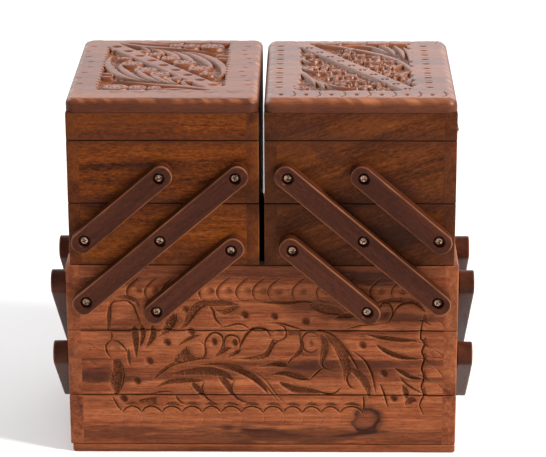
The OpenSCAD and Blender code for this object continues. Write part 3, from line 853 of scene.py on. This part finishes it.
def carved_lid(side, material, carve, edge_radius):
    """A lid board with its carved top, rounded top edges and rounded corners."""
    corner = 8.0
    low, high = box_mm(f"{side}_lid_panel")
    r = Relief(*(edge_rows(low[k], high[k], edge_radius, LID_CELL, 7) for k in (0, 1)))
    carve(r)
    cut = r.soften(2, 0.30)
    cut += 0.05 * (1 + smooth_noise(r.u, r.v, 11.0, 13)) + 0.025 * (1 + r.grit)
    # each corner's square of grid is drawn in to a quarter circle
    middle, half = (low + high) / 2, (high - low) / 2
    p, q = r.u - middle[0], r.v - middle[1]
    a = np.clip((np.abs(p) - half[0] + corner) / corner, 0, 1)
    b = np.clip((np.abs(q) - half[1] + corner) / corner, 0, 1)
    u = middle[0] + np.sign(p) * (np.abs(p) - corner * (a - a * np.sqrt(1 - b**2 / 2)))
    v = middle[1] + np.sign(q) * (np.abs(q) - corner * (b - b * np.sqrt(1 - a**2 / 2)))
    from_edge = np.minimum(half[0] - np.abs(p), half[1] - np.abs(q))
    from_arc = corner - corner * np.hypot(a * np.sqrt(1 - b**2 / 2), b * np.sqrt(1 - a**2 / 2))
    inward = np.where((a > 0) & (b > 0), from_arc, from_edge)
    lip = np.clip(1 - inward / edge_radius, 0, 1)
    tooled = 0.5 * np.clip(smooth_noise(u + v, v * 0.3, 5.0, 31), 0, 1) * np.sin(math.pi * lip)
    drop = edge_radius * (1 - np.sqrt(np.clip(1 - lip**2, 0, 1))) + tooled
    points, faces, under = backed(np.stack([u, v, high[2] - cut * (1 - lip) - drop], -1), 2, low[2])
    pad = np.zeros(under)
    worn = np.maximum(wear(cut) * 0.25, np.clip(1.8 * tooled, 0, 0.8))
    # painted shade: the lower part of the rounded edge and the board's sides are darkened
    shade = np.clip(lip * 2 - 1.2, 0, 1) * 0.8
    marks = {"cut": np.append(np.clip(cut / 2.2, 0, 1) ** 1.2, pad), "worn": np.append(worn, pad),
             "stain_and_shade": np.append(shade, pad + 0.7)}
    return new_piece(f"{side}_carved_lid_board", points, faces, f"{side}_lid", material,
                     [f"{side}_lid_panel"], 50, marks)


# ---------------------------------------------------------------- plain boards

# How thick the upper trays' walls are, and the hairline between an end board and a side board
TRAY_WALL = 9.5
SEAM = 0.06


def ring_boards(low, high, wall):
    """A box's walls: (front and back boards, left and right boards). The side boards run full depth."""
    (x0, y0, z0), (x1, y1, z1) = low, high
    ends = [((x0 + wall, a, z0), (x1 - wall, a + wall, z1)) for a in (y0, y1 - wall)]
    sides = [((a, y0, z0), (a + wall, y1, z1)) for a in (x0, x1 - wall)]
    return ends, sides


def back_board(tier, material, seed):
    """A lower tier's plain back board."""
    points, faces, worn = rounded_board(*box_mm(f"{tier}_back"), 1.0, 9.0, seed)
    return new_piece(f"{tier}_back_board", points, faces, tier, material, [f"{tier}_back"],
                     50, {"worn": worn * 0.45})


def side_boards(tier, material, seed):
    """A lower tier's two side boards. Their end grain, which shows at the front and back, is darker."""
    low, high = box_mm(f"{tier}_sides")
    wall = box_mm(f"{tier}_back")[0][0] - low[0]
    _, sides = ring_boards(low, high, wall)
    points, faces, worn = join(rounded_board(*corners, 1.1, 9.0, seed + k, square=(0, 1 - 2 * k))
                               for k, corners in enumerate(sides))
    at_end = np.abs(points[:, 1]) > high[1] - 1.2
    return new_piece(f"{tier}_side_boards", points, faces, tier, material, [f"{tier}_sides"],
                     50, {"worn": worn * 0.3, "stain_and_shade": np.where(at_end, 0.22, 0.0)})


def bottom_board(material):
    """The base's bottom board, its lower edges and corners worn rounder than the other boards'."""
    low, high = box_mm("base_floor")
    points, faces, worn = rounded_board(low, high, 1.8, 6.0, 70, 0.3, 5)
    points[:, 0] += 1.8 * np.exp(-np.hypot(points[:, 0] - low[0], points[:, 1] - low[1]) / 12)
    return new_piece("base_bottom_board", points, faces, "base", material, ["base_floor"],
                     50, {"worn": worn * 0.2, "stain_and_shade": np.full(len(points), 0.25)})


def tray_boards(piece_name, node, body, side, end_wood, side_wood, hinged, seed):
    """A tray's or lid frame's four walls in one piece: end boards with one wood, side boards with another."""
    low, high = box_mm(node)
    ends, sides = ring_boards(low, high, TRAY_WALL)
    ends = [((a[0] + SEAM, a[1], a[2]), (b[0] - SEAM, b[1], b[2])) for a, b in ends]
    meets = ((0, 0), (0, 0), (0, 1), (0, -1))
    parts = [rounded_board(a, b, 0.7, 8.0, seed + k, square=meets[k])
             for k, (a, b) in enumerate(ends + sides)]
    points, faces, worn = join(parts)
    stain_and_shade = streaked(points[:, 0], points[:, 2], STACK_STREAKS[side], seed)
    # end grain at the front and back of the side boards is darker
    inner = TRAY_WALL + SEAM / 2
    outer = (points[:, 0] < low[0] + inner) | (points[:, 0] > high[0] - inner)
    at_end = outer & (np.abs(points[:, 1]) > high[1] - 1.5)
    stain_and_shade = np.where(at_end, np.maximum(stain_and_shade, 0.34), stain_and_shade)
    # painted shade: the boards darken along the seams between the tiers, and their bare edges show less there
    seam_shade = np.clip(1.25 - np.minimum(points[:, 2] - low[2], high[2] - points[:, 2]) / 0.9, 0, 1)
    marks = {"worn": worn * 0.45 * (1 - seam_shade), "stain_and_shade": np.maximum(stain_and_shade, seam_shade)}
    piece = new_piece(piece_name, points, faces, body, end_wood, [node], 50, marks)
    piece.data.materials.append(side_wood)
    kinds = np.zeros(len(faces), np.int32)
    kinds[sum(len(part[1]) for part in parts[:2]):] = 1
    piece.data.polygons.foreach_set("material_index", kinds)
    if hinged:
        cut_away(piece, hinge_room(side), 50)
    return piece


def lathe(profile, count=32):
    """Points and faces of a closed form turned about Z. profile is (radius, z) pairs from pole to pole."""
    points, faces = [(0, 0, profile[0][1])], []
    for radius, z in profile[1:-1]:
        points += [(radius * math.cos(2 * math.pi * k / count), radius * math.sin(2 * math.pi * k / count), z)
                   for k in range(count)]
    points.append((0, 0, profile[-1][1]))
    for k in range(count):
        j = (k + 1) % count
        faces.append((0, 1 + k, 1 + j))
        for ring in range(len(profile) - 3):
            a, b = 1 + ring * count, 1 + (ring + 1) * count
            faces.append((a + k, b + k, b + j, a + j))
        last = 1 + (len(profile) - 3) * count
        faces.append((len(points) - 1, last + j, last + k))
    return np.array(points, float), faces


def cut_away(piece, form, sharp):
    """Takes a closed form, given as join() gives it, out of a piece."""
    points, faces, worn = form
    mesh = bpy.data.meshes.new("cutter")
    mesh.from_pydata((points * MM).tolist(), [], faces)
    layer = mesh.attributes.new("worn", "FLOAT", "POINT")
    layer.data.foreach_set("value", np.asarray(worn, np.float32))
    tidy_normals(mesh)
    cutter = bpy.data.objects.new("cutter", mesh)
    bpy.context.scene.collection.objects.link(cutter)
    modifier = piece.modifiers.new("cut", "BOOLEAN")
    modifier.operation = "DIFFERENCE"
    modifier.solver = "EXACT"
    modifier.object = cutter
    bpy.context.view_layer.update()
    cut = bpy.data.meshes.new_from_object(piece.evaluated_get(bpy.context.evaluated_depsgraph_get()))
    piece.modifiers.clear()
    piece.data = cut
    cut.shade_smooth()
    cut.set_sharp_from_angle(angle=math.radians(sharp))
    bpy.data.objects.remove(cutter)


def tidy_normals(mesh):
    work = bmesh.new()
    work.from_mesh(mesh)
    bmesh.ops.recalc_face_normals(work, faces=work.faces)
    work.to_mesh(mesh)
    work.free()


# ---------------------------------------------------------------- arms and screws

JOINT_AT = {joint["child"]: np.array(joint["pos_m"]) / MM for joint in frame["joints"]}
# The arms, measured out from the wall that they stand against
ARM_GAP = 1.0
ARM_T = 12.0
UP_ARM_W = 17.5
UP_ARM_PAST = 2.0
SIDE_ARM_W = 19.5
RECESS_R = 4.6
RECESS_D = 4.5
# The screws; HEAD_AT is how far off the wall the underside of a head is, and BITE how deep a screw goes
HEAD_R = 3.25
HEAD_T = 2.4
HEAD_AT = 8.6
SHANK_R = 1.75
BITE = 7.5
# The room for a hinge: how far in its leaves reach, half their thickness, its knuckle, and its length and
# place along the lid
LEAF_REACH = 8.9
LEAF_HALF = 1.2
KNUCKLE_R = 2.25
HINGE_L = 26.5
HINGE_AT = 46.0


def arm_pivots(group, leader, tray, across):
    """The pivots of a face's arms as (across, z), by arm, from the lowest up. They are all one step apart,
    the step from the leader's long arm up to the tray that it carries."""
    first = JOINT_AT[f"{leader}_arm_long"]
    step = JOINT_AT[tray] - first
    starts = {"long": first, "low": JOINT_AT[f"{group}_arm_low"], "high": JOINT_AT[f"{group}_arm_high"]}
    return {arm: [(start + k * step)[[across, 2]] for k in range(3 if arm == "long" else 2)]
            for arm, start in starts.items()}


class Wall:
    """A wall that arms stand against. Drawn as (across, up, distance off the wall)."""

    def __init__(self, kind, sign, at):
        self.kind, self.sign, self.at = kind, sign, at

    def place(self, points):
        points = np.asarray(points, float)
        off = self.at + self.sign * points[:, 2]
        if self.kind == "face":
            return np.stack([points[:, 0], off, points[:, 1]], 1)
        return np.stack([off, points[:, 0], points[:, 1]], 1)


def arm_outline(pivots, radius, past, blunt, inset, seed):
    """The line round an arm, drawn in by inset. Its ends are centred `past` beyond the outer pivots;
    blunt is 2 for a round end and more for a squarer one."""
    first, last = np.array(pivots[0], float), np.array(pivots[-1], float)
    along = (last - first) / np.linalg.norm(last - first)
    first, last = first - past * along, last + past * along
    across = np.array([-along[1], along[0]])
    outline = []
    for centre, turn, power in ((last, 1, blunt[1]), (first, -1, blunt[0])):
        for k in range(25):
            angle = math.radians(-90 + 7.5 * k)
            c, s = math.cos(angle), math.sin(angle)
            c, s = abs(c) ** (2 / power), math.copysign(abs(s) ** (2 / power), s)
            outline.append(centre + turn * (radius - inset) * (c * along + s * across))
    outline = np.array(outline)
    count = int(np.linalg.norm(last - first) / 7)
    path = []
    for start, end in ((0, 25), (25, 50)):
        path += list(outline[start:end])
        a, b = outline[end - 1], outline[end % 50]
        path += [a + (b - a) * k / count for k in range(1, count)]
    path = np.array(path)
    lengthwise, edge = (path - first) @ along, np.sign((path - first) @ across)
    dent = 0.22 * (1 + smooth_noise(lengthwise + 300, edge * 40 + seed, 19.0, seed)) / 2
    return path - edge[:, None] * across * dent[:, None]


def arm_piece(name, pivots, wall, width, past, material, seed, blunt):
    """An arm with eased edges and a counterbored hole at every pivot, each hole's rim a little chipped."""
    top = ARM_GAP + ARM_T
    # height off the wall, how far the line is drawn in, and how bare the wood is there
    levels = ((ARM_GAP, 0.5, 0.2), (ARM_GAP + 0.5, 0.0, 0.1), (top - 1.5, 0.0, 0.0), (top - 0.9, 0.0, 0.3),
              (top - 0.3, 0.3, 0.9), (top, 0.9, 0.35), (top, 1.5, 0.0))
    points, worn, faces = [], [], []
    for height, inset, bare in levels:
        line = arm_outline(pivots, width / 2, past, blunt, inset, seed)
        points.append(np.column_stack([line, np.full(len(line), height)]))
        patchy = 0.6 + 0.4 * smooth_noise(line[:, 0], line[:, 1], 9.0, seed + 2)
        worn.append(bare * np.clip(patchy, 0, 1))
    count = len(points[0])
    for ring in range(len(levels) - 1):
        faces += strip(ring * count, (ring + 1) * count, count)
    faces.append(tuple(range(count - 1, -1, -1)))
    faces.append(tuple(range((len(levels) - 1) * count, len(levels) * count)))
    piece = new_piece(name + "_wood", wall.place(np.concatenate(points)), faces, name, material, [name],
                      20, {"worn": np.concatenate(worn)})
    tidy_normals(piece.data)
    holes, bore = [], SHANK_R + 0.12
    for k, pivot in enumerate(pivots):
        wide = RECESS_R + 0.45 + 0.25 * math.sin(3 * seed + 2 * k)
        hole, hole_faces = lathe(((0, ARM_GAP - 1), (bore, ARM_GAP - 1), (bore, top - RECESS_D),
                                  (RECESS_R, top - RECESS_D), (RECESS_R, top - 1.0), (wide, top),
                                  (wide, top + 1), (0, top + 1)))
        chipped = 1 + 0.05 * np.sin(3 * np.arctan2(hole[:, 1], hole[:, 0]) + seed) * (hole[:, 2] > top - 0.5)
        hole[:, :2] *= chipped[:, None]
        holes.append(unworn(wall.place(hole + (*pivot, 0)), hole_faces))
    cut_away(piece, join(holes), 20)
    # the cut leaves stray values round the holes
    mesh = piece.data
    place = np.zeros(len(mesh.vertices) * 3, np.float32)
    mesh.vertices.foreach_get("co", place)
    place = place.reshape(-1, 3) / MM
    across = place[:, 0 if wall.kind == "face" else 1]
    bare = np.zeros(len(place), np.float32)
    mesh.attributes["worn"].data.foreach_get("value", bare)
    for pivot in pivots:
        bare[np.hypot(across - pivot[0], place[:, 2] - pivot[1]) < RECESS_R + 1] = 0
    mesh.attributes["worn"].data.foreach_set("value", bare)
    return piece


def screw_mesh(turn):
    """A pan-head screw with a cross recess, along +Z out of the wall. turn is in radians."""
    rings = np.concatenate([np.linspace(0.15, 2.3, 15), HEAD_R * np.sin(np.radians([58, 68, 78, 86, 90]))])
    sectors = 48
    points = [(0, 0, 0)]
    for radius in rings:
        for k in range(sectors):
            angle = 2 * math.pi * k / sectors + turn
            points.append((radius * math.cos(angle), radius * math.sin(angle), 0))
    points = np.array(points, float)
    radius = np.hypot(points[:, 0], points[:, 1])
    dome = HEAD_T * (1 - 0.14 * (radius / HEAD_R) ** 2 - 0.34 * np.clip(radius / HEAD_R, 0, 1) ** 10)
    c, s = math.cos(turn * 3), math.sin(turn * 3)
    u, v = np.abs(points[:, 0] * c + points[:, 1] * s), np.abs(points[:, 1] * c - points[:, 0] * s)
    slot = np.maximum(*(np.clip((0.48 - a) / 0.2, 0, 1) * np.clip((1.85 - b) / 0.35, 0, 1)
                        for a, b in ((u, v), (v, u))))
    points[:, 2] = HEAD_AT + dome - 1.25 * slot * (1 - 0.25 * radius / HEAD_R)
    # a last ring straight under the head's rim closes it from below
    points = np.concatenate([points, points[-sectors:] * (1, 1, 0) + (0, 0, HEAD_AT)])
    faces = [(0, 1 + k, 1 + (k + 1) % sectors) for k in range(sectors)]
    for ring in range(len(rings)):
        faces += strip(1 + ring * sectors, 1 + (ring + 1) * sectors, sectors)
    faces.append(tuple(range(len(points) - 1, len(points) - 1 - sectors, -1)))
    shank = lathe(((0, HEAD_AT + 0.2), (SHANK_R, HEAD_AT + 0.2), (SHANK_R, -BITE * 0.7), (0.4, -BITE),
                   (0, -BITE)), 20)
    return join([unworn(points, faces), unworn(*shank)])


def screws_piece(tier, places, material):
    """All the screws of a tier; places are (wall, pivot) pairs."""
    parts = []
    for k, (wall, pivot) in enumerate(places):
        points, faces, worn = screw_mesh(0.4 + 0.9 * k)
        parts.append((wall.place(points + (*pivot, 0)), faces, worn))
    points, faces, _ = join(parts)
    piece = new_piece(f"{tier}_screws_heads", points, faces, tier, material, [f"{tier}_screws"], 35)
    tidy_normals(piece.data)
    return piece


def arms_on(wall, group, pivots, tiers, places, material, size, seed, blunt):
    """The three arms of a group on one wall. They add to each tier's places for screws; size is their width
    and how far past its end pivots the wood goes on, and blunt gives each arm's ends."""
    held = {"long": tiers, "low": tiers[:2], "high": tiers[1:]}
    for k, arm in enumerate(ARMS):
        arm_piece(f"{group}_arm_{arm}", pivots[arm], wall, *size, material, seed + k, blunt[arm])
        for tier, pivot in zip(held[arm], pivots[arm]):
            places.setdefault(tier, []).append((wall, pivot))


# ---------------------------------------------------------------- the pieces

def repaint(names, material):
    """A CAD node shown as it is takes this material."""
    for name in names:
        node = frame["nodes"][name]
        node.data.materials.clear()
        node.data.materials.append(material)


def hinge_room(side):
    """The room cut for a lid's two hinges, into the tray's wall below and the lid's frame above."""
    x, _, z = JOINT_AT[f"{side}_lid"]
    sign = math.copysign(1, x)
    meet = math.acos(-math.sqrt(KNUCKLE_R**2 - LEAF_HALF**2) / KNUCKLE_R)
    outline = [(x - sign * LEAF_REACH, z + LEAF_HALF)]
    outline += [(x + sign * KNUCKLE_R * math.cos(t), z + KNUCKLE_R * math.sin(t))
                for t in np.linspace(meet, -meet, 23)]
    outline += [(x - sign * LEAF_REACH, z - LEAF_HALF)]
    count, parts = len(outline), []
    for y in (-HINGE_AT, HINGE_AT):
        points = [(a, y + end, b) for end in (-HINGE_L / 2, HINGE_L / 2) for a, b in outline]
        faces = strip(0, count, count)
        faces += [tuple(range(count - 1, -1, -1)), tuple(range(count, 2 * count))]
        parts.append(unworn(np.array(points), faces))
    return join(parts)


def by_side(left, right):
    return {"left": left, "right": right}


def build():
    front_wood = wood("carved_red_wood", RED_TONES, "X", (0.31, 0.0, 0.02), streaks=0.35)
    plain_red = wood("red_wood_boards", RED_TONES, "X", (0.7, 0.2, 0.11))
    side_red = wood("red_wood_sides", RED_TONES, "Y", (0.2, 0.4, 0.31))
    bottom_wood = wood("bottom_board_wood", RED_TONES, "X", (0.45, 0.1, 0.4), streaks=0.2)
    floor_wood = wood("inner_floor_wood", WARM_TONES, "X", (0.9, 0.3, 0.2), roughness=0.6, streaks=0.2)
    end_wood = by_side(
        wood("left_tray_wood", WARM_TONES, "X", (0.12, 0, 0.5), streaks=0.25, fleck=0.5),
        wood("right_tray_wood", DUSK_TONES, "X", (0.62, 0, 0.15), (0, 0.35, 0), fleck=0.45))
    side_wood = by_side(
        wood("left_tray_side_wood", WARM_TONES, "Y", (0.5, 0.9, 0.7), streaks=0.4, fleck=0.3),
        wood("right_tray_side_wood", DUSK_TONES, "Y", (0.1, 0.3, 0.4), streaks=0.4, fleck=0.3))
    gloss = {"roughness": 0.36, "coat_roughness": 0.42, "cut_tone": LID_CUT_TONE}
    lid_wood = by_side(
        wood("left_lid_wood", LID_TONES, "X", (0.8, 0.5, 0.3), streaks=0.1, coat=0.5, **gloss),
        wood("right_lid_wood", LID_TONES, "X", (0.3, 0.15, 0.9), streaks=0.2, coat=0.72, **gloss))

    # the arms' grain runs along them, so it leans as they do
    side_step = JOINT_AT["lower_tray"] - JOINT_AT["left_side_arm_long"]
    lean_side = math.atan2(side_step[2], -side_step[1])
    up_step = JOINT_AT["left_middle_tray"] - JOINT_AT["left_front_arm_long"]
    lean_up = math.atan2(up_step[2], up_step[0])
    finish = {"roughness": 0.38, "streaks": 0.3, "fleck": 0.4}
    arm_wood = by_side(
        wood("left_arm_wood", PLUM_TONES, "X", (0.2, 0, 0.6), (0, lean_up, 0), **finish),
        wood("right_arm_wood", PLUM_TONES, "X", (0.5, 0, 0.1), (0, -lean_up, 0), **finish))
    side_arm_wood = wood("side_arm_wood", PLUM_TONES, "Y", (0.3, 0.2, 0.8), (lean_side, 0, 0), **finish)
    screw_metal = metal("worn_screw_steel", (0.52, 0.33, 0.24), (0.10, 0.050, 0.030), 0.32)
    brass = metal("old_brass", (0.30, 0.19, 0.075), (0.08, 0.045, 0.022), 0.36)

    # the wide lower unit
    for k, tier in enumerate(TIERS):
        carved_front(tier, front_wood)
        back_board(tier, plain_red, 10 + k)
        side_boards(tier, side_red, 20 + k)
    bottom_board(bottom_wood)
    repaint(["lower_tray_floor", "carrier_tray_floor"], floor_wood)

    # the two upper stacks
    for s, side in enumerate(SIDES):
        woods = (side, end_wood[side], side_wood[side])
        for tier in ("middle", "top"):
            tray = f"{side}_{tier}_tray"
            tray_boards(f"{tray}_boards", f"{tray}_walls", tray, *woods, tier == "top", 40 + 7 * s)
        tray_boards(f"{side}_lid_frame_boards", f"{side}_lid_frame", f"{side}_lid", *woods, True, 60 + 7 * s)
        repaint([f"{side}_middle_tray_floor", f"{side}_top_tray_floor"], floor_wood)
        repaint([f"{side}_hinge_{part}" for part in
                 ("tray_leaves", "lid_leaves", "pins", "tray_screws", "lid_screws")], brass)
    carved_lid("left", lid_wood["left"], carve_left_lid, 5.0)
    carved_lid("right", lid_wood["right"], carve_right_lid, 7.0)

    # arms on all four sides, and the screws they turn on
    places = {}
    half_width, half_depth = box_mm("base_sides")[1][0], box_mm("base_back")[1][1]
    round_ends = dict.fromkeys(ARMS, (2, 2))
    for s, side in enumerate(SIDES):
        sign = 2 * s - 1
        pivots = arm_pivots("left_side", "left_side", "lower_tray", 1)
        arms_on(Wall("side", sign, sign * half_width), f"{side}_side", pivots, TIERS, places, side_arm_wood,
                (SIDE_ARM_W, 0), 5 + 3 * s, round_ends)
    for s, side in enumerate(SIDES):
        blunt = dict.fromkeys(ARMS, (2.1, 2.2))
        if side == "left":
            blunt["long"] = (2.5, 2.2)
        tiers = ("carrier_tray", f"{side}_middle_tray", f"{side}_top_tray")
        for f, face in enumerate(FACES):
            sign = 2 * f - 1
            pivots = arm_pivots(f"{side}_{face}", f"{side}_front", f"{side}_middle_tray", 0)
            arms_on(Wall("face", sign, sign * half_depth), f"{side}_{face}", pivots, tiers, places,
                    arm_wood[side], (UP_ARM_W, UP_ARM_PAST), 30 + 9 * s + 3 * f, blunt)
    for tier, held in places.items():
        screws_piece(tier, held, screw_metal)


build()

# ---------------------------------------------------------------- floor, lights, camera

def paper():
    """Matt white backing paper."""
    material, n, shader = new_material("white_paper")
    where = n.add("ShaderNodeTexCoord").outputs["Object"]
    mottle = n.ramp(n.noise(where, 3.0, 2.0), [(0.3, (0.90, 0.90, 0.90)), (0.7, (0.93, 0.93, 0.93))])
    n.feed(shader.inputs["Base Color"], mottle)
    shader.inputs["Roughness"].default_value = 0.9
    shader.inputs["Specular IOR Level"].default_value = 0.1
    return material


def area_light(name, place, aim, size, watts, tint=(1, 1, 1), unseen=False):
    data = bpy.data.lights.new(name, "AREA")
    data.shape = "RECTANGLE"
    data.size, data.size_y = size
    data.energy = watts
    data.color = tint
    light = bpy.data.objects.new(name, data)
    light.location = place
    light.rotation_euler = (Vector(aim) - Vector(place)).to_track_quat("-Z", "Y").to_euler()
    light.visible_camera = not unseen
    bpy.context.scene.collection.objects.link(light)


floor_mesh = bpy.data.meshes.new("floor")
floor_mesh.from_pydata([(-6, -6, 0), (6, -6, 0), (6, 6, 0), (-6, 6, 0)], [], [(0, 1, 2, 3)])
floor_mesh.materials.append(paper())
floor = bpy.data.objects.new("floor", floor_mesh)
bpy.context.scene.collection.objects.link(floor)

area_light("key", (1.95, -0.85, 1.60), (0, 0, 0.15), (0.50, 0.50), 100, (1.0, 0.97, 0.93))
area_light("fill", (-1.8, -1.4, 1.1), (0, 0, 0.15), (1.4, 1.2), 9, (0.93, 0.96, 1.0), True)
area_light("backdrop_glow", (0.1, 2.4, 1.15), (0, 0, 0.3), (3.2, 2.0), 27, (1.0, 0.98, 0.99), True)
area_light("left_lift", (-1.5, 0.9, 1.3), (-0.45, 0.2, 0), (1.0, 1.0), 22, (1.0, 1.0, 1.0), True)
world = bpy.data.worlds.new("soft_studio")
world.use_nodes = True
world.node_tree.nodes["Background"].inputs["Color"].default_value = (1.0, 1.0, 1.0, 1.0)
world.node_tree.nodes["Background"].inputs["Strength"].default_value = 0.42
bpy.context.scene.world = world
bpy.context.scene.view_settings.view_transform = "Standard"

camera_data = bpy.data.cameras.new("camera")
camera_data.sensor_fit = "HORIZONTAL"
camera_data.sensor_width = 36.0
camera_data.lens = 160.4
camera_data.clip_end = 50.0
camera = bpy.data.objects.new("camera", camera_data)
camera.location = (0.03923, -1.85870, 0.80361)
pitch, yaw, roll = 0.334649, 0.017258, -0.0033626
camera.rotation_euler = (Matrix.Rotation(yaw, 4, "Z") @ Matrix.Rotation(math.pi / 2 - pitch, 4, "X")
                         @ Matrix.Rotation(roll, 4, "Z")).to_euler()
bpy.context.scene.collection.objects.link(camera)
bpy.context.scene.camera = camera
